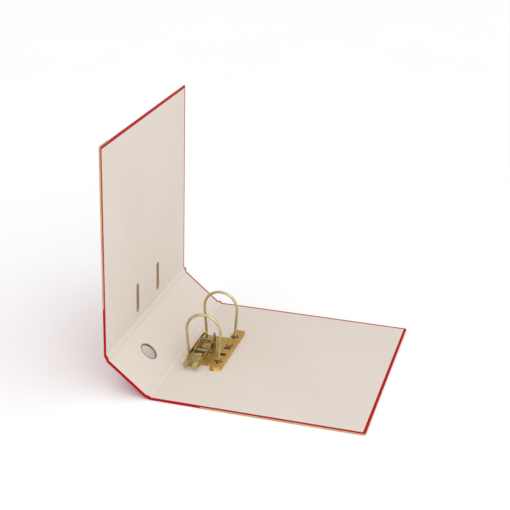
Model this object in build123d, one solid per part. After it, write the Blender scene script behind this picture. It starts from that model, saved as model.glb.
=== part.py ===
from build123d import *
import math
import os

# A lever arch file for A4 sheets, lying open on its back cover. Millimetres and degrees.
# Everything is first laid out flat, as if the file were opened right out on a table:
#   x = 0 is the rear crease, +x runs to the back cover's fore edge and -x to the front cover's;
#   y = 0 is the file's bottom edge and +y runs to its top;
#   z = 0 is the inside face of the covers, and the outside face is at z = -wall.
# The spine and the front cover are then folded up about their creases, and the whole file is
# moved so that its origin is in the middle of the back cover's outside face.

# ---- covers, spine and folds ----
file_height = 318.0
cover_depth = 297.0
spine_width = 68.5
strip_width = 8.6
board_thickness = 1.9
skin_thickness = 0.3
lining_thickness = 0.2
turn_in_width = 3.0
crease_gap = 0.3
rear_crease_angle = 20.0
front_crease_angle = 25.5

# ---- metal edge guards ----
guard_start = 71.0
guard_return = 30.0
guard_thickness = 0.5
guard_height = 1.7
guard_leg = 1.3

# ---- finger ring in the spine ----
ring_centre_y = 84.0
ring_hole_radius = 12.1
ring_wall = 0.5
ring_flange_radius = 14.5
ring_flange_thickness = 0.6
ring_inner_flange_radius = 13.9
ring_inner_flange_thickness = 0.4

# ---- label pocket and its card ----
card_width = 54.0
card_height = 190.0
card_thickness = 0.3
card_bottom_y = 106.5
card_proud = 2.0
card_side_clearance = 0.25
card_face_clearance = 0.1
film_thickness = 0.15
side_weld_width = 6.0
bottom_weld_width = 3.2

# ---- arches, posts and the slots they close into ----
hole_spacing = 80.0
mechanism_centre_y = 159.0
wire_radius = 2.0
arch_foot_x = 13.5
arch_axis_z = 5.5
bow_centre_x = 35.8
bow_centre_z = 51.3
bow_radius = 25.3
foot_bend_radius = 4.0
post_gap = 0.25
slot_centre_from_crease = 34.6
slot_length = 42.5
slot_width = 7.0
eyelet_wall = 0.5
eyelet_flange = 1.3
eyelet_flange_thickness = 0.5
eyelet_inner_flange_thickness = 0.4

# ---- pressed base plate ----
sheet = 1.0
sheet_bend = 0.8
base_left_x = 9.0
wall_height = 7.5
deck_left_x = 51.5
deck_right_x = 66.5
deck_height = 6.0
floor_near_margin = 15.5
floor_far_margin = 3.5
deck_near_margin = 18.0
deck_far_margin = 23.0
lug_thickness = 1.2
lug_near_offset = 4.8
lug_height = 9.5
running_clearance = 0.05

# ---- crank of the arch wire, roller and lever ----
crank_reach = 15.0
crank_near_offset = 11.0
crank_width = 13.0
crank_bend_radius = 3.2
roller_radius = 2.7
roller_gap = 0.1
roller_pin_radius = 1.2
lever_sheet = 1.2
lever_left_x = 19.0
lever_right_x = 39.0
side_gap = 0.2
pivot_offset = 36.3
pivot_height = 15.0
pivot_radius = 1.8
pin_head_radius = 3.0
pin_head_thickness = 0.8
ear_near_offset = 29.8
ear_far_offset = 42.8
tall_ear_height = 31.5

# ---- rivets ----
rivet_radius = 1.5
rivet_head_radius = 3.0
rivet_head_height = 1.1
rivet_flat_radius = 4.0
rivet_clearance = 0.03

# ---- sizes that follow from the ones above ----
wall = skin_thickness + board_thickness + lining_thickness
spine_rear_x = -strip_width
spine_front_x = spine_rear_x - spine_width
front_crease_x = spine_front_x - strip_width
spine_middle_x = (spine_rear_x + spine_front_x) / 2
half_spacing = hole_spacing / 2
near_y = mechanism_centre_y - half_spacing
far_y = mechanism_centre_y + half_spacing
post_foot_x = 2 * bow_centre_x - arch_foot_x
crank_near_y = near_y + crank_near_offset
crank_far_y = crank_near_y + crank_width
roller_y = (crank_near_y + crank_far_y) / 2
roller_z = arch_axis_z + wire_radius + roller_gap + roller_radius
pivot_y = near_y + pivot_offset
floor_near_y = near_y - floor_near_margin
floor_far_y = far_y + floor_far_margin
deck_near_y = near_y - deck_near_margin
deck_far_y = far_y + deck_far_margin
rivet_spots = [
    (24.0, near_y - 12.0),
    (45.0, near_y - 3.5),
    (24.0, far_y - 2.5),
    (45.0, far_y - 3.5),
]


def block(x_span, y_span, z_span):
    """A box between three pairs of limits."""
    spans = (x_span, y_span, z_span)
    middle = [(low + high) / 2 for low, high in spans]
    size = [high - low for low, high in spans]
    return Pos(*middle) * Box(*size)


def rod_x(radius, x_span, y, z):
    """A round bar along x."""
    middle = Location(((x_span[0] + x_span[1]) / 2, y, z), (0, 90, 0))
    return middle * Cylinder(radius, x_span[1] - x_span[0])


def rod_y(radius, y_span, x, z):
    """A round bar along y."""
    middle = Location((x, (y_span[0] + y_span[1]) / 2, z), (90, 0, 0))
    return middle * Cylinder(radius, y_span[1] - y_span[0])


def rod_z(radius, z_span, x, y):
    """A round bar along z."""
    return Pos(x, y, (z_span[0] + z_span[1]) / 2) * Cylinder(radius, z_span[1] - z_span[0])


def turn_about(x, z, angle):
    """The turn that folds a panel inwards by an angle about a crease along y."""
    return Pos(x, 0, z) * Rot(0, angle, 0) * Pos(-x, 0, -z)


# ---- where each folded body goes ----
def folded_places():
    """The place of each folded body, worked out crease by crease from the back cover."""
    strip = turn_about(0, 0, rear_crease_angle)
    spine = strip * turn_about(spine_rear_x, 0, rear_crease_angle)
    front_strip = spine * turn_about(spine_front_x, 0, front_crease_angle)
    front = front_strip * turn_about(front_crease_x, 0, front_crease_angle)
    return {"rear_strip": strip, "spine": spine, "front_strip": front_strip, "front": front}


# ---- boards with their outer cover sheet and inner lining ----
def panel(x_low, x_high, free_low, free_high):
    """Board, outer cover sheet and lining of one flat panel; free sides have a turned edge."""
    board_low = x_low + (skin_thickness if free_low else crease_gap / 2)
    board_high = x_high - (skin_thickness if free_high else crease_gap / 2)
    edge_low = x_low + (0 if free_low else crease_gap / 2)
    edge_high = x_high - (0 if free_high else crease_gap / 2)
    lining_low = x_low + (turn_in_width if free_low else crease_gap / 2)
    lining_high = x_high - (turn_in_width if free_high else crease_gap / 2)
    board = block(
        (board_low, board_high),
        (skin_thickness, file_height - skin_thickness),
        (skin_thickness - wall, -lining_thickness),
    )
    lining = block(
        (lining_low, lining_high),
        (turn_in_width, file_height - turn_in_width),
        (-lining_thickness, 0),
    )
    skin = block((edge_low, edge_high), (0, file_height), (-wall, 0)) - board - lining
    return board, skin, lining


def edge_guard():
    """The back cover's metal strip: along the bottom edge and round the fore-edge corner."""
    outer_x = cover_depth + guard_thickness
    plate_z = (-wall, guard_height - wall)
    leg_z = (-wall, skin_thickness - wall)
    bottom_plate = block((guard_start, outer_x), (-guard_thickness, 0), plate_z)
    corner_plate = block((cover_depth, outer_x), (-guard_thickness, guard_return), plate_z)
    bottom_leg = block((guard_start, outer_x), (-guard_thickness, guard_leg), leg_z)
    corner_leg = block((cover_depth - guard_leg, outer_x), (-guard_thickness, guard_return), leg_z)
    return bottom_plate + corner_plate + bottom_leg + corner_leg


def mirrored_to_front(shape):
    """A back cover piece mirrored onto the front cover."""
    return mirror(shape, Plane(origin=(spine_middle_x, 0, 0), z_dir=(1, 0, 0)))


def finger_ring():
    """A flanged tube crimped through the spine."""
    tube_radius = ring_hole_radius + ring_wall
    full_z = (-wall - ring_flange_thickness, ring_inner_flange_thickness)
    outer_flange = rod_z(ring_flange_radius, (full_z[0], -wall), spine_middle_x, ring_centre_y)
    tube = rod_z(tube_radius, full_z, spine_middle_x, ring_centre_y)
    inner_flange = rod_z(ring_inner_flange_radius, (0, full_z[1]), spine_middle_x, ring_centre_y)
    hole = rod_z(ring_hole_radius, (full_z[0] - 1, full_z[1] + 1), spine_middle_x, ring_centre_y)
    solid = outer_flange + tube + inner_flange - hole
    rim = solid.edges().filter_by(GeomType.CIRCLE).group_by(Axis.Z)[0]
    return fillet(rim, ring_flange_thickness * 0.4)


def slot_prism(x, y, length, width, z_span):
    """A block with round ends, long in x."""
    outline = Pos(x, y, z_span[0]) * SlotOverall(length, width)
    return extrude(outline, amount=z_span[1] - z_span[0])


def slot_eyelet(y):
    """The metal rim crimped into one arch slot of the front cover."""
    x = front_crease_x - slot_centre_from_crease
    full_z = (-wall - eyelet_flange_thickness, eyelet_inner_flange_thickness)
    across_tube = 2 * eyelet_wall
    across_flange = 2 * eyelet_flange
    outer = slot_prism(x, y, slot_length + across_flange, slot_width + across_flange, (full_z[0], -wall))
    tube = slot_prism(x, y, slot_length + across_tube, slot_width + across_tube, full_z)
    inner = slot_prism(x, y, slot_length + across_flange, slot_width + across_flange, (0, full_z[1]))
    opening = slot_prism(x, y, slot_length, slot_width, (full_z[0] - 1, full_z[1] + 1))
    solid = outer + tube + inner - opening
    return fillet(solid.faces().sort_by(Axis.Z)[0].edges(), eyelet_wall * 0.4)


def eyelet_cut(y):
    """The hole that a slot eyelet needs through the front cover."""
    x = front_crease_x - slot_centre_from_crease
    across = 2 * eyelet_wall
    return slot_prism(x, y, slot_length + across, slot_width + across, (-wall - 1, 1))


# ---- label pocket and card ----
def label_card():
    """The card, at the bottom of its pocket."""
    high_z = -wall - card_face_clearance
    return block(
        (spine_middle_x - card_width / 2, spine_middle_x + card_width / 2),
        (card_bottom_y, card_bottom_y + card_height),
        (high_z - card_thickness, high_z),
    )


def label_pocket():
    """A clear film welded to the spine along three sides, open at the top."""
    cavity_half = card_width / 2 + card_side_clearance
    outer_half = cavity_half + side_weld_width
    cavity_bottom = card_bottom_y - card_side_clearance
    top = card_bottom_y + card_height - card_proud
    cavity_depth = card_thickness + 2 * card_face_clearance
    outer = block(
        (spine_middle_x - outer_half, spine_middle_x + outer_half),
        (cavity_bottom - bottom_weld_width, top),
        (-wall - cavity_depth - film_thickness, -wall),
    )
    cavity = block(
        (spine_middle_x - cavity_half, spine_middle_x + cavity_half),
        (cavity_bottom, top + 1),
        (-wall - cavity_depth, -wall),
    )
    return outer - cavity


# ---- arch wire and posts ----
def bow_tangent():
    """The point where the straight leg from the arch's foot meets the round bow."""
    across = bow_centre_x - arch_foot_x
    up = bow_centre_z - arch_axis_z
    reach = math.hypot(across, up)
    leg = math.sqrt(reach**2 - bow_radius**2)
    direction = math.atan2(up, across) + math.asin(bow_radius / reach)
    return arch_foot_x + leg * math.cos(direction), arch_axis_z + leg * math.sin(direction)


def arch_wire():
    """One wire: both arches, and between their feet the shaft with its crank."""
    leg_x, leg_z = bow_tangent()
    tip_x = 2 * bow_centre_x - leg_x
    shaft = (arch_foot_x, arch_axis_z)
    crank_x = arch_foot_x + crank_reach
    spots = [
        (leg_x, near_y, leg_z),
        (shaft[0], near_y, shaft[1]),
        (shaft[0], crank_near_y, shaft[1]),
        (crank_x, crank_near_y, shaft[1]),
        (crank_x, crank_far_y, shaft[1]),
        (shaft[0], crank_far_y, shaft[1]),
        (shaft[0], far_y, shaft[1]),
        (leg_x, far_y, leg_z),
    ]
    bends = [foot_bend_radius] + [crank_bend_radius] * 4 + [foot_bend_radius]
    top = bow_centre_z + bow_radius
    near_bow = ThreePointArc((tip_x, near_y, leg_z), (bow_centre_x, near_y, top), spots[0])
    far_bow = ThreePointArc(spots[-1], (bow_centre_x, far_y, top), (tip_x, far_y, leg_z))
    runs = FilletPolyline(*spots, radius=bends)
    path = Wire([*near_bow.edges(), *runs.edges(), *far_bow.edges()])
    section = Plane(origin=path @ 0, z_dir=path % 0) * Circle(wire_radius)
    return sweep(section, path=path)


def post(y):
    """A straight post: its foot is headed under the deck and its top meets the arch's tip."""
    leg_x, leg_z = bow_tangent()
    top = Vector(2 * bow_centre_x - leg_x, y, leg_z)
    foot = Vector(post_foot_x, y, arch_axis_z)
    lean = (top - foot).normalized()
    start = foot - lean * 1.5
    length = (top - start).length - post_gap
    round_bar = Plane(origin=start, z_dir=lean) * Pos(0, 0, length / 2) * Cylinder(wire_radius, length)
    top_edge = round_bar.edges().filter_by(GeomType.CIRCLE).sort_by(Axis.Z)[-1]
    round_bar = chamfer(top_edge, 0.3)
    under_deck = deck_height - sheet
    trimmed = round_bar - block((0, 100), (y - 10, y + 10), (-10, under_deck - 1))
    head = rod_z(wire_radius + 1.4, (under_deck - 1, under_deck), post_foot_x, y)
    return trimmed + head


# ---- pressed base plate ----
def base_section():
    """The plate's section: left wall, floor, web, raised deck and right flange."""
    outline = [
        (base_left_x, wall_height),
        (base_left_x, 0),
        (deck_left_x + sheet, 0),
        (deck_left_x + sheet, deck_height - sheet),
        (deck_right_x - sheet, deck_height - sheet),
        (deck_right_x - sheet, 0),
        (deck_right_x, 0),
        (deck_right_x, deck_height),
        (deck_left_x, deck_height),
        (deck_left_x, sheet),
        (base_left_x + sheet, sheet),
        (base_left_x + sheet, wall_height),
    ]
    return Plane.XZ * make_face(Polyline(*outline, close=True))


def base_plate():
    """The pressed steel plate that carries the whole mechanism."""
    low_y = deck_near_y
    high_y = deck_far_y
    plate = Pos(0, high_y, 0) * extrude(base_section(), amount=high_y - low_y)
    bends = [(deck_left_x, deck_height), (deck_right_x, deck_height), (base_left_x, 0)]
    for x, z in bends:
        corner = [
            edge
            for edge in plate.edges().filter_by(Axis.Y)
            if abs(edge.center().X - x) < 0.01 and abs(edge.center().Z - z) < 0.01
        ]
        plate = fillet(corner, sheet_bend)
    tall = (-1, 50)
    over_floor = (-1, deck_left_x - 0.05)
    plate -= block(over_floor, (floor_far_y, high_y + 1), tall)
    plate -= block(over_floor, (low_y - 1, floor_near_y), tall)
    plate -= block((33, deck_left_x - 0.05), (low_y - 1, floor_near_y + 8), tall)
    slant = [(deck_right_x + 1, deck_near_y - 1), (deck_right_x - 7, deck_near_y - 1)]
    slant.append((deck_right_x + 1, deck_near_y + 7))
    plate -= Pos(0, 0, -1) * extrude(make_face(Polyline(*slant, close=True)), amount=50)
    plate -= block((-1, base_left_x + sheet + 0.01), (low_y - 1, near_y + 3.5), (sheet, 50))
    plate -= block((-1, base_left_x + sheet + 0.01), (far_y - 4, high_y), (sheet, 50))
    for y in (near_y + lug_near_offset, far_y - lug_near_offset - lug_thickness):
        plate += bearing_lug(y)
    plate -= rod_y(wire_radius + running_clearance, (near_y, far_y), arch_foot_x, arch_axis_z)
    for hole in base_holes():
        plate -= hole
    return plate + raised_tab()


def bearing_lug(y):
    """An upright lug, round at the top, that carries the wire's shaft."""
    top_radius = lug_height - arch_axis_z
    column = block(
        (arch_foot_x - top_radius, arch_foot_x + top_radius),
        (y, y + lug_thickness),
        (sheet / 2, arch_axis_z),
    )
    return column + rod_y(top_radius, (y, y + lug_thickness), arch_foot_x, arch_axis_z)


def base_holes():
    """Punched openings in the floor and in the raised deck."""
    through = (-1, 20)
    floor_slots = [
        slot_prism(24, near_y - 2, 15, 4.5, (-1, 2)),
        slot_prism(24, far_y - 12, 13, 4.5, (-1, 2)),
    ]
    tongue = block((21, 34), (pivot_y + 11, pivot_y + 24), (-1, 2))
    tongue -= block((22.6, 32.4), (pivot_y + 12.6, pivot_y + 25), (-2, 3))
    stars = []
    for y in (near_y, far_y):
        stars.append(block((post_foot_x - 5.5, post_foot_x + 5.5), (y - 1.3, y + 1.3), through))
        stars.append(block((post_foot_x - 1.3, post_foot_x + 1.3), (y - 6, y + 6), through))
        for side in (-1, 1):
            lobe_x = post_foot_x + side * 4.3
            stars.append(block((lobe_x - 1.3, lobe_x + 1.3), (y - 2.2, y + 2.2), through))
            lobe_y = y + side * 4.9
            stars.append(block((post_foot_x - 2.2, post_foot_x + 2.2), (lobe_y - 1.9, lobe_y + 1.9), through))
        stars.append(rod_z(wire_radius + 0.15, through, post_foot_x, y))
        stars.append(block((post_foot_x - 4.5, post_foot_x - 2.5), (y + 7.5, y + 9.5), through))
    windows = [
        block((53.4, 62.8), (y, y + length), through)
        for y, length in ((near_y + 17.0, 8.0), (near_y + 38.5, 6.6), (raised_tab_y() - 0.8, 7.6))
    ]
    rivets = [rod_z(rivet_radius + rivet_clearance, (-1, 3), x, y) for x, y in rivet_spots]
    return [*floor_slots, tongue, *stars, *windows, *rivets]


def raised_tab_y():
    """Where the window under the deck's raised tab begins."""
    return near_y + 49.0


def raised_tab():
    """A tongue of the deck, lifted at its near end over its own window."""
    length = 7.6
    lift = 14
    hinge = Location((58.1, raised_tab_y() + 7.1, deck_height - sheet / 2), (-lift, 0, 0))
    return hinge * Pos(0, -length / 2, 0) * Box(7.4, length, sheet)


def lever_bracket():
    """Two upright ears on a foot, the right one taller, that hold the lever's pivot."""
    near = near_y + ear_near_offset
    far = near_y + ear_far_offset
    left_x = lever_left_x - side_gap - lever_sheet
    right_x = lever_right_x + side_gap
    foot = block((left_x, right_x + lever_sheet), (near, far), (sheet, 2 * sheet))
    short_ear = block((left_x, left_x + lever_sheet), (near, far), (sheet, pivot_height - 2))
    short_ear += rod_x((far - near) / 2, (left_x, left_x + lever_sheet), (near + far) / 2, pivot_height - 2)
    outline = [
        (near, sheet),
        (far, sheet),
        (far + 1.0, pivot_height + 4),
        (pivot_y + 4.4, tall_ear_height - 3.5),
        (pivot_y + 1.2, tall_ear_height),
        (pivot_y - 1.6, tall_ear_height - 0.6),
        (pivot_y - 5.2, tall_ear_height - 8),
        (near - 0.6, pivot_height + 1),
    ]
    face = Plane.YZ * make_face(Polyline(*outline, close=True))
    tall_ear = Pos(right_x, 0, 0) * extrude(face, amount=lever_sheet)
    bracket = foot + short_ear + tall_ear
    return bracket - rod_x(pivot_radius, (0, 60), pivot_y, pivot_height)


def headed_pin(radius, x_span, y, z, head_radius, head_thickness):
    """A pin along x with a flat head at each end, outside the span it grips."""
    low, high = x_span
    pin = rod_x(radius, (low - head_thickness, high + head_thickness), y, z)
    pin += rod_x(head_radius, (low - head_thickness, low), y, z)
    return pin + rod_x(head_radius, (high, high + head_thickness), y, z)


def lever_pin():
    """The pivot pin, riveted into both ears of the bracket."""
    grip = side_gap + lever_sheet
    span = (lever_left_x - grip, lever_right_x + grip)
    return headed_pin(pivot_radius, span, pivot_y, pivot_height, pin_head_radius, pin_head_thickness)


# ---- lever and roller ----
def lever_cheek(x):
    """One side of the lever, from the pivot's boss along to the finger tab."""
    boss = 5.2
    low = arch_axis_z + wire_radius + 0.5
    top_near = pivot_height - 1.0
    outline = [
        (near_y - 12, top_near - lever_sheet - 1),
        (near_y - 4, low + 0.8),
        (crank_near_y, low),
        (crank_far_y + 1, low),
        (pivot_y, pivot_height - boss),
        (pivot_y, pivot_height + boss),
        (crank_far_y - 2, pivot_height + 2.2),
        (near_y - 4, top_near),
        (near_y - 12, top_near),
    ]
    face = Plane.YZ * make_face(Polyline(*outline, close=True))
    cheek = Pos(x, 0, 0) * extrude(face, amount=lever_sheet)
    return cheek + rod_x(boss, (x, x + lever_sheet), pivot_y, pivot_height)


def finger_tab():
    """The lever's bent web and its two-pronged finger tab."""
    top = pivot_height - 1.0
    end_y = near_y - 29.5
    profile = FilletPolyline(
        (near_y - 5, top),
        (near_y - 13, top),
        (near_y - 23.5, top - 3.6),
        (end_y, top - 8.6),
        radius=[6, 4],
    )
    strip = make_face(offset(profile, amount=lever_sheet, side=Side.LEFT).edges())
    bent = extrude(Plane.YZ * strip, amount=60)
    left = lever_left_x - 4
    right = lever_right_x - 4
    middle = (left + right) / 2
    outline = [
        (lever_right_x, near_y - 7),
        (lever_right_x, near_y - 12),
        (right, near_y - 18),
        (right - 0.6, end_y - 1),
        (right - 6, end_y - 1),
        (middle + 1.8, near_y - 21),
        (middle - 1.4, near_y - 21),
        (left + 5.6, end_y + 1),
        (left + 0.4, end_y + 1),
        (left, near_y - 18),
        (lever_left_x, near_y - 12),
        (lever_left_x, near_y - 7),
    ]
    plan = make_face(FilletPolyline(*outline, radius=1.4, close=True))
    return bent & extrude(plan, amount=60)


def lever():
    """The pressed steel lever, lying closed over the crank."""
    far_cheek_x = lever_right_x - lever_sheet
    shape = lever_cheek(lever_left_x) + lever_cheek(far_cheek_x) + finger_tab()
    tie_top = pivot_height + 5.2
    shape += block(
        (lever_left_x, lever_right_x),
        (pivot_y - 3.5, pivot_y + 2.0),
        (tie_top - lever_sheet, tie_top),
    )
    shape -= rod_x(pivot_radius + running_clearance, (0, 60), pivot_y, pivot_height)
    return shape - rod_x(roller_pin_radius, (0, 60), roller_y, roller_z)


def roller_pin():
    """The pin that carries the roller between the lever's cheeks."""
    span = (lever_left_x, lever_right_x)
    return rod_x(roller_pin_radius, span, roller_y, roller_z)


def roller():
    """The roller that holds the crank down while the arches are closed."""
    inside = lever_sheet + side_gap
    span = (lever_left_x + inside, lever_right_x - inside)
    solid = rod_x(roller_radius, span, roller_y, roller_z)
    rims = solid.edges().filter_by(GeomType.CIRCLE)
    solid = chamfer(rims, 0.4)
    return solid - rod_x(roller_pin_radius + running_clearance, (0, 60), roller_y, roller_z)


def rivet(x, y):
    """A rivet through plate and cover: domed inside, flat and flush outside."""
    shank = rod_z(rivet_radius, (-wall, sheet + 0.2), x, y)
    flat = rod_z(rivet_flat_radius, (-wall, skin_thickness - wall), x, y)
    head = rod_z(rivet_head_radius, (sheet, sheet + rivet_head_height), x, y)
    dome = fillet(head.edges().filter_by(GeomType.CIRCLE).sort_by(Axis.Z)[-1], 0.9)
    return shank + flat + dome


# ---- putting the nodes together ----
def cover_nodes(nodes):
    """Boards, cover sheets, linings, guards, ring and eyelets."""
    places = folded_places()
    guard = edge_guard()
    shank_hole = rivet_radius + rivet_clearance
    flat_hole = rivet_flat_radius + rivet_clearance
    rivet_cuts = [rod_z(shank_hole, (-wall - 1, 1), x, y) for x, y in rivet_spots]
    flat_z = (-wall - 1, skin_thickness - wall)
    flat_cuts = [rod_z(flat_hole, flat_z, x, y) for x, y in rivet_spots]
    ring_cut = rod_z(ring_hole_radius + ring_wall, (-wall - 1, 1), spine_middle_x, ring_centre_y)
    slot_cuts = [eyelet_cut(y) for y in (near_y, far_y)]

    board, skin, lining = panel(0, cover_depth, False, True)
    nodes["back_board"] = board - rivet_cuts
    nodes["back_skin"] = skin - guard - flat_cuts
    nodes["back_lining"] = lining - rivet_cuts
    nodes["back_edge_guard"] = guard

    front_guard = mirrored_to_front(guard)
    board, skin, lining = panel(front_crease_x - cover_depth, front_crease_x, True, False)
    front = places["front"]
    nodes["front_board"] = front * (board - slot_cuts)
    nodes["front_skin"] = front * (skin - front_guard - slot_cuts)
    nodes["front_lining"] = front * (lining - slot_cuts)
    nodes["front_edge_guard"] = front * front_guard
    nodes["near_slot_eyelet"] = front * slot_eyelet(near_y)
    nodes["far_slot_eyelet"] = front * slot_eyelet(far_y)

    board, skin, lining = panel(spine_front_x, spine_rear_x, False, False)
    spine = places["spine"]
    nodes["spine_board"] = spine * (board - ring_cut)
    nodes["spine_skin"] = spine * (skin - ring_cut)
    nodes["spine_lining"] = spine * (lining - ring_cut)
    nodes["finger_ring"] = spine * finger_ring()
    nodes["label_pocket"] = spine * label_pocket()
    nodes["label_card"] = spine * label_card()

    strips = {"rear_strip": (spine_rear_x, 0), "front_strip": (front_crease_x, spine_front_x)}
    for name, (low, high) in strips.items():
        for layer, solid in zip(("board", "skin", "lining"), panel(low, high, False, False)):
            nodes[f"{name}_{layer}"] = places[name] * solid


def mechanism_nodes(nodes):
    """Everything that stands on the back cover."""
    nodes["base_plate"] = base_plate()
    nodes["lever_bracket"] = lever_bracket()
    nodes["lever_pin"] = lever_pin()
    nodes["near_post"] = post(near_y)
    nodes["far_post"] = post(far_y)
    nodes["arch_wire"] = arch_wire()
    nodes["lever"] = lever()
    nodes["roller_pin"] = roller_pin()
    nodes["roller"] = roller()
    nodes["mechanism_rivets"] = Compound(children=[rivet(x, y) for x, y in rivet_spots])


def build():
    """Every node, moved so that the origin is in the middle of the back cover's outside face."""
    nodes = {}
    cover_nodes(nodes)
    mechanism_nodes(nodes)
    to_origin = Pos(-cover_depth / 2, -file_height / 2, wall)
    return {name: to_origin * solid for name, solid in nodes.items()}


if __name__ == "__main__":
    os.makedirs("parts", exist_ok=True)
    for name, solid in build().items():
        export_step(solid, f"parts/{name}.step")
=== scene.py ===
import math

import bmesh
import bpy
from mathutils import Matrix, Vector, geometry


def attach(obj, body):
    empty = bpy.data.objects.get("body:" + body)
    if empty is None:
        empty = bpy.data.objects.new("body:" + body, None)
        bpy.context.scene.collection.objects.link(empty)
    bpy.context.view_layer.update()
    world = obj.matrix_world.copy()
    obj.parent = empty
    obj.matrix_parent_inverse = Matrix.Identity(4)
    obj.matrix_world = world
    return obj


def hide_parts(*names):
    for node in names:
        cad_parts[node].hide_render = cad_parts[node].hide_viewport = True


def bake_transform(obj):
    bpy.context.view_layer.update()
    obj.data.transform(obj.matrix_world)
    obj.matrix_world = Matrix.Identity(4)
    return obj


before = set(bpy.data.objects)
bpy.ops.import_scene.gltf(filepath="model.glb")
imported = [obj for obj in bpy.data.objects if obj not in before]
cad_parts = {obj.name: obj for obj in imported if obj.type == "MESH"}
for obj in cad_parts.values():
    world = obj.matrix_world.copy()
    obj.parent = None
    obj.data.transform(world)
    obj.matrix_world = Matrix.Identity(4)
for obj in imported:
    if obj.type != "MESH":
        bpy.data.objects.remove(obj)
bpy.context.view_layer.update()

# The covers are described as if the file were opened right out flat, in millimetres: x = 0 is the
# rear crease, y = 0 the bottom edge, z = 0 the inside face. folded() turns that into the frame.
MM = 0.001
NEARLY = 1e-6
FILE_HEIGHT = 318.0
COVER_DEPTH = 297.0
WALL = 2.4
# Each crease's x, and the angle in degrees that the file is folded to there.
CREASES = [(0.0, 20.0), (-8.6, 20.0), (-77.1, 25.5), (-85.7, 25.5)]
FRONT_CREASE = -85.7
SPINE_MIDDLE = -42.85
# A crease bends over this far to either side of it.
BEND = 2.0
# Where one wrapped piece ends and the next one starts.
SEAMS = (-4.3, -24.0, -81.4)
STRIP_MIDDLES = (-4.3, -81.4)
STRIP_HALF = 4.3
# The lining stops BORDER short of the edges. Rims are RIM wide, and flat faces fill what they leave.
BORDER = 3.8
RIM = 4.0
# The cover sheet's inside face, which the lining lies on.
UNDER_LINING = -0.12
# The rounding of a cover's free corners, at the bottom and at the top edge.
CORNER_RADII = (3.0, 1.0)
RING_Y = 84.0
RING_HOLE_RADIUS = 12.6
SLOT_X = -120.3
SLOT_YS = (119.0, 199.0)
SLOT_LENGTH = 42.5
SLOT_RADIUS = 3.5
SLOT_HOLE_GROWTH = 0.5


def smoothstep(t):
    t = min(max(t, 0.0), 1.0)
    return t * t * (3 - 2 * t)


def folded(x, y, z):
    """A point of the flat layout, folded up about every crease it lies beyond, in the frame."""
    px, pz = x, z
    for crease_x, angle in reversed(CREASES):
        share = smoothstep((crease_x + BEND - x) / (2 * BEND))
        if share > 0:
            turn = math.radians(angle) * share
            dx, dz = px - crease_x, pz
            px = crease_x + dx * math.cos(turn) + dz * math.sin(turn)
            pz = -dx * math.sin(turn) + dz * math.cos(turn)
    return Vector(((px - COVER_DEPTH / 2) * MM, (y - FILE_HEIGHT / 2) * MM, (pz + WALL) * MM))


# ---------------------------------------------------------------- materials
def new_material(name, color, roughness, metallic=0.0):
    mat = bpy.data.materials.new(name)
    mat.use_nodes = True
    shader = mat.node_tree.nodes["Principled BSDF"]
    shader.inputs["Base Color"].default_value = (*color, 1)
    shader.inputs["Roughness"].default_value = roughness
    shader.inputs["Metallic"].default_value = metallic
    return mat, mat.node_tree, shader


def add_node(tree, kind, inputs=None, **settings):
    node = tree.nodes.new(kind)
    for key, value in settings.items():
        setattr(node, key, value)
    for key, value in (inputs or {}).items():
        if isinstance(value, bpy.types.NodeSocket):
            tree.links.new(value, node.inputs[key])
        else:
            node.inputs[key].default_value = value
    return node


def coordinates(tree, uv):
    node = add_node(tree, "ShaderNodeTexCoord")
    return node.outputs["UV" if uv else "Object"]


def noise(tree, where, scale, detail=4.0, roughness=0.5, stretch=None):
    if stretch:
        mapping = add_node(tree, "ShaderNodeMapping", {"Vector": where, "Scale": stretch})
        where = mapping.outputs["Vector"]
    inputs = {"Vector": where, "Scale": scale, "Detail": detail, "Roughness": roughness}
    return add_node(tree, "ShaderNodeTexNoise", inputs).outputs["Fac"]


def ramp(tree, factor, stops):
    node = add_node(tree, "ShaderNodeValToRGB", {"Fac": factor})
    elements = node.color_ramp.elements
    while len(elements) < len(stops):
        elements.new(0.5)
    for element, (position, color) in zip(elements, stops):
        element.position = position
        element.color = (*color, 1)
    return node.outputs["Color"]


def span(tree, factor, low, high, from_low=0.3, from_high=0.7):
    """The factor's range from_low..from_high turned into low..high."""
    inputs = {"Value": factor, "From Min": from_low, "From Max": from_high}
    inputs.update({"To Min": low, "To Max": high})
    return add_node(tree, "ShaderNodeMapRange", inputs).outputs["Result"]


def bump(tree, shader, layers):
    """Adds bump layers, each (height, strength, distance in metres)."""
    normal = None
    for height, strength, distance in layers:
        inputs = {"Height": height, "Strength": strength, "Distance": distance}
        if normal is not None:
            inputs["Normal"] = normal
        normal = add_node(tree, "ShaderNodeBump", inputs).outputs["Normal"]
    tree.links.new(normal, shader.inputs["Normal"])


def link(tree, output, shader, socket):
    tree.links.new(output, shader.inputs[socket])


def cover_foil():
    """Satin red plastic-coated paper with a very fine embossed grain."""
    mat, tree, shader = new_material("cover_red", (0.39, 0.0006, 0.0008), 0.5)
    where = coordinates(tree, uv=True)
    cloudy = noise(tree, where, 18, 3)
    fine = noise(tree, where, 1900, 3, 0.6)
    colors = [(0.3, (0.37, 0.0004, 0.0006)), (0.7, (0.41, 0.0007, 0.001))]
    link(tree, ramp(tree, cloudy, colors), shader, "Base Color")
    link(tree, span(tree, noise(tree, where, 260, 4), 0.42, 0.54), shader, "Roughness")
    bump(tree, shader, [(fine, 0.22, 0.00008), (noise(tree, where, 120, 2), 0.1, 0.0001)])
    shader.inputs["Specular IOR Level"].default_value = 0.12
    return mat


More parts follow.
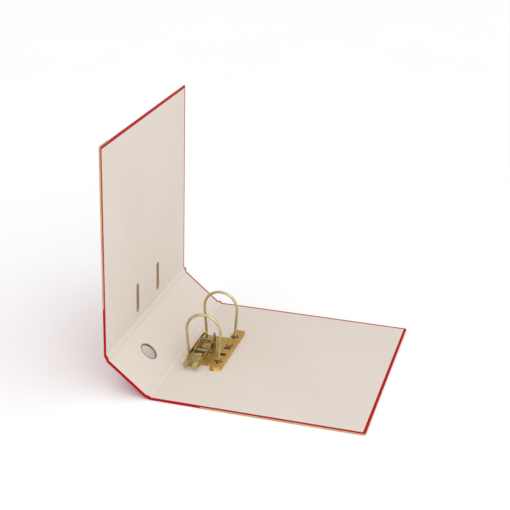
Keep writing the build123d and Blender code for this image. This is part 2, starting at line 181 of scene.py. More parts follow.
def lining_paper():
    """Uncoated pale beige paper with faint fibres."""
    mat, tree, shader = new_material("lining_paper", (0.74, 0.68, 0.61), 0.85)
    where = coordinates(tree, uv=True)
    cloudy = noise(tree, where, 9, 2, 0.45)
    fibres = noise(tree, where, 700, 5, 0.65, (1.0, 0.45, 1.0))
    mixed = add_node(tree, "ShaderNodeMath", {0: cloudy, 1: fibres}, operation="ADD").outputs[0]
    colors = [(0.3, (0.680, 0.608, 0.545)), (0.7, (0.696, 0.624, 0.561))]
    link(tree, ramp(tree, span(tree, mixed, 0.0, 1.0, 0.7, 1.3), colors), shader, "Base Color")
    link(tree, span(tree, fibres, 0.78, 0.92), shader, "Roughness")
    bump(tree, shader, [(fibres, 0.12, 0.00005)])
    shader.inputs["Specular IOR Level"].default_value = 0.25
    return mat


def metal(name, light, dark, roughness, blotch=60.0, tarnish=0.5, brushed=None):
    """Thinly plated steel: a base colour that drifts, darker tarnish in blotches, fine scratches."""
    mat, tree, shader = new_material(name, light, roughness, 1.0)
    where = coordinates(tree, uv=False)
    cloud = noise(tree, where, blotch, 6, 0.62)
    fine = noise(tree, where, blotch * 14, 4, 0.6, brushed)
    middle = [light[i] * (1 - tarnish) + dark[i] * tarnish for i in range(3)]
    link(tree, ramp(tree, cloud, [(0.36, middle), (0.6, light)]), shader, "Base Color")
    spread = add_node(tree, "ShaderNodeMath", {0: cloud, 1: fine}, operation="ADD").outputs[0]
    rough = span(tree, spread, roughness + 0.1, roughness - 0.07, 0.75, 1.25)
    link(tree, rough, shader, "Roughness")
    bump(tree, shader, [(fine, 0.18, 0.00008), (cloud, 0.12, 0.0003)])
    return mat


def clear_film(name, color, alpha, roughness):
    """Thin plastic that shows what is under it, slightly uneven."""
    mat, tree, shader = new_material(name, color, roughness)
    where = coordinates(tree, uv=False)
    uneven = span(tree, noise(tree, where, 90, 4), roughness * 0.7, roughness * 1.5)
    link(tree, uneven, shader, "Roughness")
    bump(tree, shader, [(noise(tree, where, 25, 2), 0.15, 0.0006)])
    shader.inputs["Alpha"].default_value = alpha
    return mat


def label_stock():
    """Pale greenish card."""
    mat, tree, shader = new_material("label_paper", (0.74, 0.74, 0.58), 0.7)
    where = coordinates(tree, uv=False)
    fibres = noise(tree, where, 900, 5, 0.65)
    colors = [(0.3, (0.70, 0.70, 0.53)), (0.7, (0.77, 0.77, 0.61))]
    link(tree, ramp(tree, fibres, colors), shader, "Base Color")
    link(tree, span(tree, fibres, 0.62, 0.78), shader, "Roughness")
    bump(tree, shader, [(fibres, 0.12, 0.00005)])
    return mat


def printed_line():
    """Grey printing ink on the card."""
    mat, tree, shader = new_material("label_line", (0.32, 0.33, 0.27), 0.7)
    where = coordinates(tree, uv=False)
    grain = noise(tree, where, 2500, 2)
    colors = [(0.3, (0.26, 0.27, 0.22)), (0.7, (0.40, 0.41, 0.33))]
    link(tree, ramp(tree, grain, colors), shader, "Base Color")
    return mat


def bare_floor():
    """Matt, nearly white floor."""
    mat, tree, shader = new_material("floor_pale", (0.95, 0.95, 0.95), 0.9)
    tones = [(0.3, (0.945, 0.945, 0.945)), (0.7, (0.955, 0.955, 0.955))]
    tone = ramp(tree, noise(tree, coordinates(tree, uv=False), 3, 2), tones)
    link(tree, tone, shader, "Base Color")
    shader.inputs["Specular IOR Level"].default_value = 0.0
    return mat


RED = cover_foil()
PAPER = lining_paper()
GUARD = metal("edge_guard_metal", (0.64, 0.44, 0.25), (0.40, 0.26, 0.13), 0.38, 40, 0.3, (0.06, 1.0, 1.0))
EYELET = metal("eyelet_metal", (0.40, 0.29, 0.17), (0.18, 0.12, 0.06), 0.28, 160, 0.4)
PLATE = metal("plate_brass_finish", (0.70, 0.46, 0.13), (0.34, 0.20, 0.05), 0.44, 70, 0.4)
WIRE = metal("wire_brass_finish", (0.64, 0.56, 0.32), (0.28, 0.23, 0.10), 0.24, 110, 0.4)
LEVER = metal("lever_brass_finish", (0.52, 0.42, 0.18), (0.16, 0.12, 0.04), 0.30, 90, 0.6)
PIN = metal("pin_metal", (0.38, 0.34, 0.24), (0.18, 0.16, 0.11), 0.28, 150, 0.5)
# The bracket has the same brass finish as the plate, darkened as painted shade because its upright ears
# stand in shade.
BRACKET_PAINTED_SHADE = metal("bracket_brass_painted_shade", (0.36, 0.28, 0.12), (0.12, 0.09, 0.03), 0.32, 110, 0.6)
# Near-black painted shade, not a finish of the metal: it darkens the mechanism's undersides, hole walls and
# post feet as if they lay in shade.
PAINTED_SHADE = metal("painted_shade_dark", (0.035, 0.026, 0.018), (0.015, 0.012, 0.008), 0.6, 150, 0.5)
FILM = clear_film("pocket_film", (0.9, 0.9, 0.9), 0.16, 0.12)
WELD = clear_film("pocket_weld", (0.93, 0.72, 0.72), 0.55, 0.3)
CARD = label_stock()
LINE = printed_line()


# ---------------------------------------------------------------- meshes from the flat layout
class Sheet:
    """Faces given by their corners in the flat layout; corners in one place are one vertex."""

    def __init__(self):
        self.spots = []
        self.index = {}
        self.faces = []
        self.slots = []

    def spot(self, corner):
        key = tuple(round(c, 3) for c in corner)
        if key not in self.index:
            self.index[key] = len(self.spots)
            self.spots.append(corner)
        return self.index[key]

    def face(self, corners, slot=0):
        ids = []
        for corner in corners:
            i = self.spot(corner)
            if i not in ids:
                ids.append(i)
        if len(ids) > 2:
            self.faces.append(ids)
            self.slots.append(slot)

    def strip(self, rows, closed=False):
        """Quads between neighbouring rows of corners."""
        for a, b in zip(rows, rows[1:]):
            count = len(a) if closed else len(a) - 1
            for i in range(count):
                j = (i + 1) % len(a)
                self.face([a[i], a[j], b[j], b[i]])

    def make(self, name, place, materials, outside, smooth=40.0):
        """The object. place turns the layout into the frame, and the surface's outer side faces
        the corner outside. Edges sharper than smooth, in degrees, stay sharp."""
        mesh = bpy.data.meshes.new(name)
        points = [place(*spot) for spot in self.spots]
        mesh.from_pydata(points, [], self.faces)
        layer = mesh.uv_layers.new(name="UVMap")
        for loop in mesh.loops:
            x, y, z = self.spots[loop.vertex_index]
            layer.data[loop.index].uv = ((x + 0.7 * z) * MM, (y + z) * MM)
        for polygon, slot in zip(mesh.polygons, self.slots):
            polygon.material_index = slot
        for mat in materials:
            mesh.materials.append(mat)
        bm = bmesh.new()
        bm.from_mesh(mesh)
        bmesh.ops.recalc_face_normals(bm, faces=bm.faces[:])
        target = place(*outside)
        nearest = min(bm.faces, key=lambda f: (f.calc_center_median() - target).length)
        away = target - nearest.calc_center_median()
        if nearest.normal.dot(away) < 0:
            bmesh.ops.reverse_faces(bm, faces=bm.faces[:])
        bm.to_mesh(mesh)
        bm.free()
        mesh.shade_smooth()
        mesh.set_sharp_from_angle(angle=math.radians(smooth))
        obj = bpy.data.objects.new(name, mesh)
        bpy.context.scene.collection.objects.link(obj)
        return obj


def even_shading(obj):
    """Wide flat faces keep their own shading and narrow ones beside them take up the turn."""
    modifier = obj.modifiers.new("even_shading", "WEIGHTED_NORMAL")
    modifier.mode = "FACE_AREA"
    modifier.weight = 90
    modifier.keep_sharp = True


def thicken(obj, thickness):
    """Gives a thin sheet its thickness in millimetres, inwards from its outer side."""
    solid = obj.modifiers.new("thickness", "SOLIDIFY")
    solid.thickness = thickness * MM
    solid.offset = -1


def spread(low, high, step):
    """Even steps from low to high, both included."""
    count = max(1, math.ceil((high - low) / step - NEARLY))
    return [low + (high - low) * i / count for i in range(count + 1)]


CREASE_STEP = 0.2
STRIP_STEP = 0.46
PANEL_STEP = 24.0
LEAST_STEP = 0.05


def columns(low, high, blocks):
    """x values from low to high: close together round the creases, none inside a block."""
    marks = {low, high}
    for crease_x, _ in CREASES:
        marks.update(spread(crease_x - BEND, crease_x + BEND, CREASE_STEP))
    for middle in STRIP_MIDDLES:
        marks.update(spread(middle - STRIP_HALF + BEND, middle + STRIP_HALF - BEND, STRIP_STEP))
    marks.update(spread(low, high, PANEL_STEP))
    for block in blocks:
        marks.update(block["x"])
    marks = sorted(round(m, 4) for m in marks if low - NEARLY <= m <= high + NEARLY)
    for block in blocks:
        left, right = block["x"]
        marks = [m for m in marks if not left + NEARLY < m < right - NEARLY]
    kept = [marks[0]]
    for m in marks[1:]:
        if m - kept[-1] > LEAST_STEP:
            kept.append(m)
    kept[-1] = marks[-1]
    return kept


# y values of the rows of faces, close together near the bottom and the top edge.
ROWS = [5.5, 7.0, 9.0, 12.0, 16.0, 22.0, 32.0, 60.0, 110.0]
ROWS = ROWS + [FILE_HEIGHT / 2] + [FILE_HEIGHT - y for y in reversed(ROWS)]


def ring_loop(radius, count=72):
    """A circle round the finger ring's middle."""
    steps = [2 * math.pi * i / count for i in range(count)]
    return [(SPINE_MIDDLE + radius * math.cos(a), RING_Y + radius * math.sin(a)) for a in steps]


def slot_loop(y, grow, count=14):
    """The outline of an arch slot, grown outwards by an amount."""
    half, radius = SLOT_LENGTH / 2 - SLOT_RADIUS, SLOT_RADIUS + grow
    out = []
    for side in (1, -1):
        for i in range(count + 1):
            a = -math.pi / 2 + math.pi * i / count
            out.append((SLOT_X + side * (half + radius * math.cos(a)), y + side * radius * math.sin(a)))
    return out


def inside(point, loop):
    """True if the point is inside the loop."""
    x, y = point
    odd = False
    for (ax, ay), (bx, by) in zip(loop, loop[1:] + loop[:1]):
        if (ay > y) != (by > y) and x < (bx - ax) * (y - ay) / (by - ay) + ax:
            odd = not odd
    return odd


def fill(sheet, xs, ys, z, blocks):
    """Covers xs by ys at height z, leaving each block's holes open."""
    for a, b in zip(xs, xs[1:]):
        if any(abs(a - block["x"][0]) < NEARLY for block in blocks):
            continue
        for c, d in zip(ys, ys[1:]):
            sheet.face([(a, c, z), (b, c, z), (b, d, z), (a, d, z)])
    for block in blocks:
        left, right = block["x"]
        outline = [(left, ys[0])] + [(right, y) for y in ys] + [(left, y) for y in reversed(ys[1:])]
        spots = [Vector(p) for p in outline]
        edges = [(i, (i + 1) % len(outline)) for i in range(len(outline))]
        for loop in block["holes"]:
            first = len(spots)
            spots += [Vector(p) for p in loop]
            edges += [(first + i, first + (i + 1) % len(loop)) for i in range(len(loop))]
        done = geometry.delaunay_2d_cdt(spots, edges, [], 0, 1e-7)
        for triangle in done[2]:
            corners = [done[0][i] for i in triangle]
            centre = sum(corners, Vector((0, 0))) / 3
            if any(inside(centre, loop) for loop in block["holes"]):
                continue
            if not (left < centre.x < right and ys[0] < centre.y < ys[-1]):
                continue
            sheet.face([(p.x, p.y, z) for p in corners])


CORNER_STEPS = 8


def rim_stations(xs, ys, free, corner_radii):
    """Places along the outline from the seam at the bottom edge round to the seam at the top one.
    Each is a function of the inset from the outline. A panel with a seam at either end has two
    such runs, and a free one has a single run round its fore edge."""
    if not free:
        bottom = [lambda d, x=x: (x, d) for x in xs]
        top = [lambda d, x=x: (x, FILE_HEIGHT - d) for x in xs]
        return [bottom, top]
    high = xs[-1]
    out = []
    for x in xs:
        if x <= high - corner_radii[0]:
            out.append(lambda d, x=x: (min(x, high - d), d))
    for radius, at_top in ((corner_radii[0], False), (corner_radii[1], True)):
        for i in range(CORNER_STEPS + 1):
            a = math.pi / 2 * i / CORNER_STEPS
            if at_top:
                a = math.pi / 2 - a

            def corner(d, a=a, radius=radius, at_top=at_top):
                left = max(radius - d, 0.0)
                centre = max(radius, d)
                x = high - centre + left * math.sin(a)
                y = centre - left * math.cos(a)
                return x, FILE_HEIGHT - y if at_top else y

            out.append(corner)
        if not at_top:
            for y in ys:
                out.append(lambda d, y=y: (high - d, min(max(y, d), FILE_HEIGHT - d)))
    for x in reversed(xs):
        if x <= high - corner_radii[1]:
            out.append(lambda d, x=x: (min(x, high - d), FILE_HEIGHT - d))
    return [out]


def arc(centre, radius, start, end, count):
    """Points of an arc in the section plane, angles in degrees."""
    out = []
    for i in range(count + 1):
        a = math.radians(start + (end - start) * i / count)
        out.append((centre[0] + radius * math.cos(a), centre[1] + radius * math.sin(a)))
    return out


# The hump of a strip between its two creases, and how much higher it is at the very edge.
HUMP = 0.14
EDGE_HUMP = 1.75
EDGE_HUMP_REACH = 4.2
OUTSIDE_HUMP = 0.25
# The pressed line along each crease.
SCORE_DEPTH = 0.42
SCORE_WIDTH = 0.36


def crease_relief(x, y, z):
    """How far a point rises out of the flat layout in the folds, most of all on the inside face."""
    edge = min(y, FILE_HEIGHT - y)
    out = 0.0
    inner = min(max((z + WALL) / WALL, 0.0), 1.0)
    for middle in STRIP_MIDDLES:
        u = (x - middle) / STRIP_HALF
        if abs(u) < 1:
            hump = (1 - u * u) ** 2
            out += inner * hump * (HUMP + EDGE_HUMP * math.exp(-max(edge, 0.0) / EDGE_HUMP_REACH))
            out += (1 - inner) * hump * OUTSIDE_HUMP
    for crease_x, _ in CREASES:
        out -= inner * SCORE_DEPTH * math.exp(-(((x - crease_x) / SCORE_WIDTH) ** 2))
    return out


def shaped(x, y, z):
    """A point of the covers, with the relief of the folds, in the frame."""
    return folded(x, y, z + crease_relief(x, y, z))


def mirrored(x):
    """A back cover's x turned into the same place on the front cover."""
    return FRONT_CREASE - x


# The stretches of x that have holes in them, and the outlines of the holes.
RING_BLOCK = {"x": (-60.0, -26.5), "holes": [ring_loop(RING_HOLE_RADIUS)]}
SLOT_BLOCK = {"x": (-148.0, -94.0), "holes": [slot_loop(y, SLOT_HOLE_GROWTH) for y in SLOT_YS]}


def cover_section():
    """Inset and height round the wrapped edge of the board, from inside face to outside face."""
    inner = arc((0.5, -0.62), 0.5, 90, 180, 4)
    outer = arc((0.8, -1.6), 0.8, 180, 270, 6)
    inside_face = [(RIM, UNDER_LINING), (BORDER, UNDER_LINING), (1.4, UNDER_LINING)]
    return inside_face + inner + outer + [(2.0, -WALL), (RIM, -WALL)]


def lining_section():
    """Inset and height over the lining's rounded edge."""
    edge = [(BORDER, -0.16), (BORDER, -0.05), (BORDER + 0.05, -0.012), (BORDER + 0.16, 0.0)]
    return edge + [(RIM, 0.0)]


def panel_parts(low, high, free, blocks, section, fills, caps, turned=False):
    """One panel's rims, flat faces at the heights fills, and, with caps, its ends and the walls of
    its holes. A turned panel is the front cover, which is made like the back one and mirrored."""
    sheet = Sheet()
    plain_blocks = blocks
    if turned:
        plain_blocks = []
        for block in blocks:
            left, right = block["x"]
            holes = [[(mirrored(x), y) for x, y in loop] for loop in block["holes"]]
            plain_blocks.append({"x": (mirrored(right), mirrored(left)), "holes": holes})
    xs = columns(low, high, plain_blocks)
    if free:
        xs = [x for x in xs if x < high - RIM - 0.2] + [high - RIM, high]
    ys = [RIM] + ROWS + [FILE_HEIGHT - RIM]
    paths = rim_stations(xs, ROWS, free, CORNER_RADII)
    for path in paths:
        rows = [[(*station(inset), z) for inset, z in section] for station in path]
        sheet.strip(rows)
    inner_xs = xs[:-1] if free else xs
    for z in fills:
        fill(sheet, inner_xs, ys, z, plain_blocks)
    if caps:
        ends = [low] if free else [low, high]
        for x in ends:
            bottom = [(x, inset, z) for inset, z in section]
            top = [(x, FILE_HEIGHT - inset, z) for inset, z in reversed(section)]
            outer = [(x, y, section[-1][1]) for y in ROWS]
            inner = [(x, y, section[0][1]) for y in reversed(ROWS)]
            sheet.face(bottom + outer + top + inner)
        for block in plain_blocks:
            for loop in block["holes"]:
                walls = [[(x, y, z) for x, y in loop] for z in fills]
                sheet.strip(walls, closed=True)
    if turned:
        sheet.spots = [(mirrored(x), y, z) for x, y, z in sheet.spots]
    return sheet


def bend_with(obj, number, a, b):
    """Bakes the piece's transform into its mesh; number, a and b are not used."""
    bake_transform(obj)


# Name, x from and to, one end free, blocks with holes, turned, number of its crease, bodies.
PANELS = [
    ("back", SEAMS[0], COVER_DEPTH, True, [], False, 0, ("back_cover", "rear_strip")),
    ("rear_fold", SEAMS[1], SEAMS[0], False, [], False, 1, ("rear_strip", "spine")),
    ("front_fold", SEAMS[2], SEAMS[1], False, [RING_BLOCK], False, 2, ("spine", "front_strip")),
    ("front", SEAMS[0], COVER_DEPTH, True, [SLOT_BLOCK], True, 3, ("front_strip", "front_cover")),
]
STANDS_FOR = {
    "back": ["back_board", "back_skin"],
    "rear_fold": ["rear_strip_board", "rear_strip_skin"],
    "front_fold": ["spine_board", "spine_skin"],
    "front": ["front_strip_board", "front_strip_skin", "front_board", "front_skin"],
}
LINES_FOR = {
    "back": ["back_lining"],
    "rear_fold": ["rear_strip_lining"],
    "front_fold": ["spine_lining"],
    "front": ["front_strip_lining", "front_lining"],
}
for name, low, high, free, blocks, turned, crease, bodies in PANELS:
    middle_x = (low + high) / 2
    if turned:
        middle_x = mirrored(middle_x)
    heights = (UNDER_LINING, -WALL)
    board = panel_parts(low, high, free, blocks, cover_section(), heights, True, turned)
    cover = board.make(f"{name}_cover_wrapped", shaped, [RED], outside=(middle_x, 30, -WALL - 30))
    even_shading(cover)
    bend_with(cover, crease, *bodies)
    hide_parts(*STANDS_FOR[name])
    paper = panel_parts(low, high, free, blocks, lining_section(), (0.0,), False, turned)
    lining = paper.make(f"{name}_lining_sheet", shaped, [PAPER], outside=(middle_x, 30, 30))
    thicken(lining, 0.1)
    even_shading(lining)
    bend_with(lining, crease, *bodies)
    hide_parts(*LINES_FOR[name])


# ---------------------------------------------------------------- metal edge guards
# A guard runs from GUARD_START along the bottom edge, and GUARD_RETURN up the fore edge.
GUARD_START = 71.0
GUARD_RETURN = 30.0
GUARD_CORNER_STEPS = 12


def guard_section():
    """Inset and height round the pressed metal strip that covers the edge and its outer corner."""
    outer = [(1.5, -2.44)] + arc((-0.05, -1.74), 0.7, 270, 180, 6)
    outer += [(-0.75, -0.7)] + arc((-0.4, -0.6), 0.35, 180, 90, 5) + [(0.02, -0.24)]
    inner = [(0.06, -0.42), (-0.12, -0.7), (-0.14, -1.8)]
    inner += arc((0.2, -1.80), 0.34, 180, 270, 3) + [(1.5, -2.16)]
    return outer + inner


def guard_path():
    """Stations along the bottom edge, round the corner and up the fore edge, by inset."""
    high, radius = COVER_DEPTH, CORNER_RADII[0]
    out = []
    for x in spread(GUARD_START, high - radius, 18):
        out.append(lambda d, x=x: (x, d))
    for i in range(1, GUARD_CORNER_STEPS):
        a = math.pi / 2 * i / GUARD_CORNER_STEPS

        def corner(d, a=a):
            left = max(radius - d, 0.0)
            centre = max(radius, d)
            return high - centre + left * math.sin(a), centre - left * math.cos(a)

        out.append(corner)
    for y in spread(radius, GUARD_RETURN, 9):
        out.append(lambda d, y=y: (high - d, y))
    return out


for name, body, turned in (
    ("back_edge_guard", "back_cover", False),
    ("front_edge_guard", "front_cover", True),
):
    sheet = Sheet()
    section = guard_section()
    rows = [[(*station(inset), z) for inset, z in section] for station in guard_path()]
    sheet.strip(rows, closed=True)
    sheet.face(rows[0])
    sheet.face(rows[-1])
    if turned:
        sheet.spots = [(mirrored(x), y, z) for x, y, z in sheet.spots]
    x = mirrored(150) if turned else 150
    guard = sheet.make(f"{name}_strip", folded, [GUARD], outside=(x, -20, -1.5), smooth=35)
    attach(guard, body)
    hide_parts(name)


# ---------------------------------------------------------------- finger ring and slot eyelets
RING_STEPS = 120
RING_PETALS = 10
NICK_WIDTH = 0.22
NICK_INWARD = 0.55
NICK_DROP = 0.08


def finger_ring():
    """A flanged tube, rolled over outside and crimped into petals inside."""
    section = [(12.1, 0.05), (12.25, 0.33), (12.6, 0.44), (13.3, 0.42), (13.75, 0.24), (13.9, 0.02)]
    section += [(13.7, -0.1), (12.6, -0.1), (12.6, -2.3), (14.3, -2.35), (14.5, -2.5), (14.44, -2.72)]
    section += [(14.2, -2.9), (13.7, -3.0), (13.1, -3.0), (12.55, -2.92), (12.22, -2.76)]
    section += [(12.1, -2.5), (12.1, -1.2)]
    rows = []
    for i in range(RING_STEPS):
        a = 2 * math.pi * i / RING_STEPS
        nick = math.exp(-((math.sin(a * RING_PETALS / 2) / NICK_WIDTH) ** 2))
        row = []
        for r, z in section:
            if z > -0.05 and r > 12.5:
                r -= NICK_INWARD * nick * (r - 12.5) / 1.4
                z -= NICK_DROP * nick
            row.append((SPINE_MIDDLE + r * math.cos(a), RING_Y + r * math.sin(a), z))
        rows.append(row)
    sheet = Sheet()
    sheet.strip(rows + rows[:1], closed=True)
    aside = (SPINE_MIDDLE, RING_Y - 60, -WALL)
    ring = sheet.make("finger_ring_rolled", folded, [EYELET], outside=aside, smooth=60)
    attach(ring, "spine")
    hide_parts("finger_ring")


def slot_eyelet(name, y):
    """The rim of one arch slot, rolled over on both faces."""
    section = [(0.0, -0.3), (0.02, 0.18), (0.16, 0.35), (0.5, 0.42), (0.95, 0.36), (1.25, 0.18), (1.3, 0.0)]
    section += [(1.2, -0.1), (0.5, -0.1), (0.5, -2.3), (1.2, -2.33), (1.3, -2.45), (1.24, -2.68)]
    section += [(1.0, -2.86), (0.6, -2.92), (0.2, -2.84), (0.02, -2.66), (0.0, -2.4)]
    loops = [slot_loop(y, grow, 16) for grow, _ in section]
    rows = [[(*loop[i], z) for loop, (_, z) in zip(loops, section)] for i in range(len(loops[0]))]
    sheet = Sheet()
    sheet.strip(rows + rows[:1], closed=True)
    aside = (SLOT_X, y - 40, -WALL)
    rim = sheet.make(f"{name}_rolled", folded, [EYELET], outside=aside, smooth=60)
    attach(rim, "front_cover")
    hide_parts(name)


finger_ring()
slot_eyelet("near_slot_eyelet", SLOT_YS[0])
slot_eyelet("far_slot_eyelet", SLOT_YS[1])


# ---------------------------------------------------------------- label pocket and card
CARD_WIDTH = 54.0
CARD_HEIGHT = 190.0
CARD_LOW = 106.5
FILM_TOP = CARD_LOW + CARD_HEIGHT - 2.0
SIDE_WELD = 6.0
BOTTOM_WELD = 3.2
LINE_HALF_WIDTH = 0.16
LINES_FROM_TOP = (147.0, 128.0, 108.0, 88.0, 68.0)
TOOTH_STEP = 1.45
TOOTH_TAPER = 0.16
TOOTH_RISE = 0.22
IN_FRONT_OF_LABEL = (SPINE_MIDDLE, 200, -30)


def label_card():
    """A thin card with five plain writing lines printed on it."""
    left, right = SPINE_MIDDLE - CARD_WIDTH / 2, SPINE_MIDDLE + CARD_WIDTH / 2
    xs = [left, left + 4.5, right - 9.0, right]
    ys = [CARD_LOW]
    inked = []
    for from_top in LINES_FROM_TOP:
        y = CARD_LOW + CARD_HEIGHT - from_top
        inked.append(len(ys))
        ys += [y - LINE_HALF_WIDTH, y + LINE_HALF_WIDTH]
    ys.append(CARD_LOW + CARD_HEIGHT)
    front, back = -WALL - 0.40, -WALL - 0.12
    sheet = Sheet()
    for z in (front, back):
        for i in range(len(xs) - 1):
            for j in range(len(ys) - 1):
                slot = 1 if z == front and i == 1 and j in inked else 0
                a, b, c, d = xs[i], xs[i + 1], ys[j], ys[j + 1]
                sheet.face([(a, c, z), (b, c, z), (b, d, z), (a, d, z)], slot)
    for x in (left, right):
        sheet.strip([[(x, y, front) for y in ys], [(x, y, back) for y in ys]])
    for y in (ys[0], ys[-1]):
        sheet.strip([[(x, y, front) for x in xs], [(x, y, back) for x in xs]])
    card = sheet.make("label_card_ruled", folded, [CARD, LINE], outside=IN_FRONT_OF_LABEL)
    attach(card, "label_card")
    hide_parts("label_card")


def label_pocket():
    """Clear film over the card, open at the top, with toothed welds down its sides and bottom."""
    half = CARD_WIDTH / 2 + 0.25
    outer = half + SIDE_WELD
    low = CARD_LOW - 0.25
    bottom = low - BOTTOM_WELD
    raised, base, sealed = -WALL - 0.62, -WALL - 0.16, -WALL - 0.02
    xs = [-outer, -outer + 0.4, -half - 0.9, -half - 0.2, half + 0.2, half + 0.9, outer - 0.4, outer]
    heights = [sealed, base, base, raised, raised, base, base, sealed]
    ys = [bottom, bottom + 0.4, low - 0.9, low - 0.2] + spread(low + 4, FILM_TOP, 12)
    rows = []
    for k, y in enumerate(ys):
        row = []
        for x, z in zip(xs, heights):
            if k == 0:
                z = sealed
            elif k < 3:
                z = max(z, base)
            row.append((SPINE_MIDDLE + x, y, z))
        rows.append(row)
    sheet = Sheet()
    sheet.strip(rows)
    film = sheet.make("label_pocket_film", folded, [FILM], outside=IN_FRONT_OF_LABEL, smooth=60)
    thicken(film, 0.08)
    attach(film, "spine")
    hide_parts("label_pocket")

    teeth = Sheet()

    def tooth(x, y, wide, tall):
        z0, z1 = base - 0.01, base - TOOTH_RISE
        a, b, c, d = x - wide / 2, x + wide / 2, y - tall / 2, y + tall / 2
        e = TOOTH_TAPER
        low_ring = [(a, c, z0), (b, c, z0), (b, d, z0), (a, d, z0)]
        top_ring = [(a + e, c + e, z1), (b - e, c + e, z1), (b - e, d - e, z1), (a + e, d - e, z1)]
        teeth.strip([low_ring, top_ring], closed=True)
        teeth.face(top_ring)
        teeth.face(low_ring)

    for y in spread(bottom + 1.2, FILM_TOP - 0.8, TOOTH_STEP):
        for side in (-1, 1):
            tooth(SPINE_MIDDLE + side * (half + 1.9), y, 1.3, 0.75)
            tooth(SPINE_MIDDLE + side * (half + 3.9), y + 0.5, 1.3, 0.75)
    for x in spread(-half + 0.8, half - 0.8, TOOTH_STEP):
        tooth(SPINE_MIDDLE + x, bottom + 1.3, 0.75, 1.1)
    weld = teeth.make("label_pocket_weld", folded, [WELD], outside=IN_FRONT_OF_LABEL, smooth=20)
    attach(weld, "spine")


label_card()
label_pocket()


# ---------------------------------------------------------------- mechanism: the frame's own nodes
DECK_UNDERSIDE = 4.9
DECK_TOP = 6.1
FLOOR_TOP = 1.05
# Inside these x and y limits an upright face is the wall of a hole in the deck or in the floor.
DECK_INSIDE = (52.3, 65.7, 101.8, 221.2)
FLOOR_INSIDE = (11.0, 50.6, 112.5, 201.5)
# x - y is above this on the deck's slanted corner, which is an outer edge.
SLANT_LIMIT = -42.2
UPRIGHT = 0.4


def in_painted_shade(node, polygon):
    """True for the faces painted near-black as painted shade: undersides, walls of the punched holes and
    post feet below the deck.
    """
    x, y, z = polygon.center / MM
    x, y, z = x + COVER_DEPTH / 2, y + FILE_HEIGHT / 2, z - WALL
    if node.endswith("_post"):
        return z < DECK_UNDERSIDE
    if node != "base_plate":
        return False
    if polygon.normal.z < -UPRIGHT:
        return True
    low_x, high_x, low_y, high_y = DECK_INSIDE if z > DECK_UNDERSIDE else FLOOR_INSIDE
    level = DECK_UNDERSIDE < z < DECK_TOP or z < FLOOR_TOP
    upright = abs(polygon.normal.z) < UPRIGHT and x - y < SLANT_LIMIT
    return upright and level and low_x < x < high_x and low_y < y < high_y


def finish_of(node, mat, bevel=None):
    """Gives a CAD node its material, and softly rounded edges if bevel says how far."""
    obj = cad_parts[node]
    obj.data.materials.clear()
    obj.data.materials.append(mat)
    # The second material is the near-black painted shade, given to the faces that lie in shade.
    obj.data.materials.append(PAINTED_SHADE)
    for polygon in obj.data.polygons:
        polygon.material_index = int(in_painted_shade(node, polygon))
    if bevel:
        weld = obj.modifiers.new("weld", "WELD")
        weld.merge_threshold = 0.002 * MM
        edge = obj.modifiers.new("edge", "BEVEL")
        edge.width = bevel * MM
        edge.segments = 2
        edge.limit_method = "ANGLE"
        edge.angle_limit = math.radians(50)
        edge.harden_normals = False


for node, mat, bevel in (
    ("base_plate", PLATE, 0.12),
    ("lever_bracket", BRACKET_PAINTED_SHADE, 0.12),
    ("lever", LEVER, 0.12),
    ("lever_pin", PIN, 0.15),
    ("roller_pin", PIN, None),
    ("roller", PIN, None),
    ("near_post", WIRE, None),
    ("far_post", WIRE, None),
    ("arch_wire", WIRE, None),
    ("mechanism_rivets", PLATE, None),
):
    finish_of(node, mat, bevel)


def deck_skirt():
    """The deck's near end, drawn down to the cover: a thin pressed skirt below its slanted edge."""
    stations = [(6.0, 0.55), (5.75, 0.1), (5.2, -0.25), (3.0, -0.9), (1.2, -1.4), (0.5, -1.9), (0.25, -2.7)]
    corners = [(51.7, 101.5), (58.6, 101.5), (59.9, 101.9), (65.6, 107.6), (66.3, 109.0)]
    outward = [(0.0, 1.0), (0.1, 1.0), (0.4, 0.9), (0.6, 0.7), (0.15, 0.2)]
    sheet = Sheet()
    rows = []
    for height, reach in stations:
        row = []
        for (x, y), (aside, forward) in zip(corners, outward):
            row.append((x - min(reach, 0.0) * aside, y + reach * forward, height))
        rows.append(row)
    sheet.strip(rows)
    skirt = sheet.make("deck_end_skirt", folded, [PLATE], outside=(57, 60, 3), smooth=60)
    thicken(skirt, 0.8)
    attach(skirt, "back_cover")


deck_skirt()


# ---------------------------------------------------------------- studio
FLOOR_REACH = 6.0
FLOOR_CELLS = 12
FLOOR_HEIGHT = -0.0001
SKY_TOWARD = (0.42, -0.62, 0.66)
SKY_STRENGTHS = (0.26, 1.40)
KEY_PLACE = (0.9, -1.6, 1.5)
KEY_TARGET = (-0.1, 0.0, 0.1)
KEY_SIDE = 1.0
KEY_WATTS = 6
CAMERA_LENS = 82.37
CAMERA_PLACE = (0.36849, -1.44671, 0.80981)
CAMERA_RIGHT = (0.959083, 0.282832, 0.012922)
CAMERA_UP = (-0.122947, 0.374933, 0.918863)


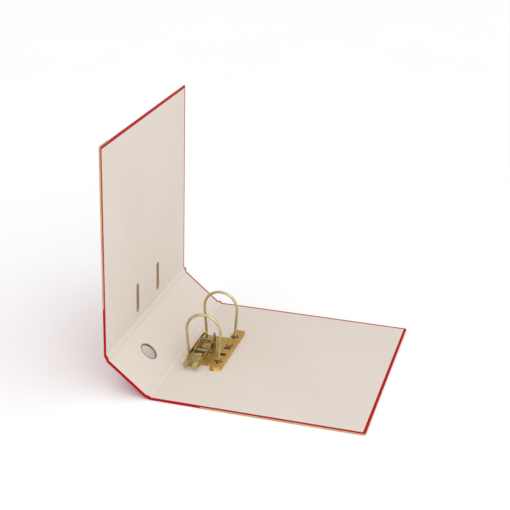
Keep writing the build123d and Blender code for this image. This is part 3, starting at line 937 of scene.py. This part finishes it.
def floor():
    mesh = bpy.data.meshes.new("studio_floor")
    size, count = FLOOR_REACH, FLOOR_CELLS
    spots = []
    faces = []
    for j in range(count + 1):
        for i in range(count + 1):
            x, y = size * (2 * i / count - 1), size * (2 * j / count - 1)
            spots.append((x, y, FLOOR_HEIGHT))
    for j in range(count):
        for i in range(count):
            a = j * (count + 1) + i
            faces.append((a, a + 1, a + count + 2, a + count + 1))
    mesh.from_pydata(spots, [], faces)
    mesh.materials.append(bare_floor())
    obj = bpy.data.objects.new("studio_floor", mesh)
    bpy.context.scene.collection.objects.link(obj)


def key_light():
    data = bpy.data.lights.new("key", "AREA")
    data.shape = "RECTANGLE"
    data.size = data.size_y = KEY_SIDE
    data.energy = KEY_WATTS
    obj = bpy.data.objects.new("key", data)
    obj.location = KEY_PLACE
    obj.rotation_mode = "QUATERNION"
    aim = Vector(KEY_TARGET) - Vector(KEY_PLACE)
    obj.rotation_quaternion = aim.to_track_quat("-Z", "Y")
    bpy.context.scene.collection.objects.link(obj)


def soft_sky():
    """Even white light that is stronger from in front of the file and weaker from behind it."""
    world = bpy.data.worlds.new("studio")
    world.use_nodes = True
    tree = world.node_tree
    background = tree.nodes["Background"]
    where = add_node(tree, "ShaderNodeTexCoord").outputs["Generated"]
    toward = add_node(tree, "ShaderNodeVectorMath", {0: where, 1: SKY_TOWARD}, operation="DOT_PRODUCT")
    strength = span(tree, toward.outputs["Value"], *SKY_STRENGTHS, -0.75, 1.0)
    background.inputs["Color"].default_value = (1, 1, 1, 1)
    tree.links.new(strength, background.inputs["Strength"])
    bpy.context.scene.world = world


def studio():
    floor()
    soft_sky()
    key_light()
    view = bpy.context.scene.view_settings
    view.view_transform = "Standard"
    view.look = "None"
    view.exposure = 0.0
    view.gamma = 1.0


def camera():
    """A long lens in front of the file's bottom edge, to its right and above it."""
    data = bpy.data.cameras.new("camera")
    data.sensor_width = 36.0
    data.lens = CAMERA_LENS
    data.clip_start, data.clip_end = 0.05, 50.0
    obj = bpy.data.objects.new("camera", data)
    right = Vector(CAMERA_RIGHT).normalized()
    up = Vector(CAMERA_UP)
    back = right.cross(up).normalized()
    up = back.cross(right)
    turn = Matrix((right, up, back)).transposed().to_4x4()
    obj.matrix_world = Matrix.Translation(CAMERA_PLACE) @ turn
    bpy.context.scene.collection.objects.link(obj)
    bpy.context.scene.camera = obj


studio()
camera()
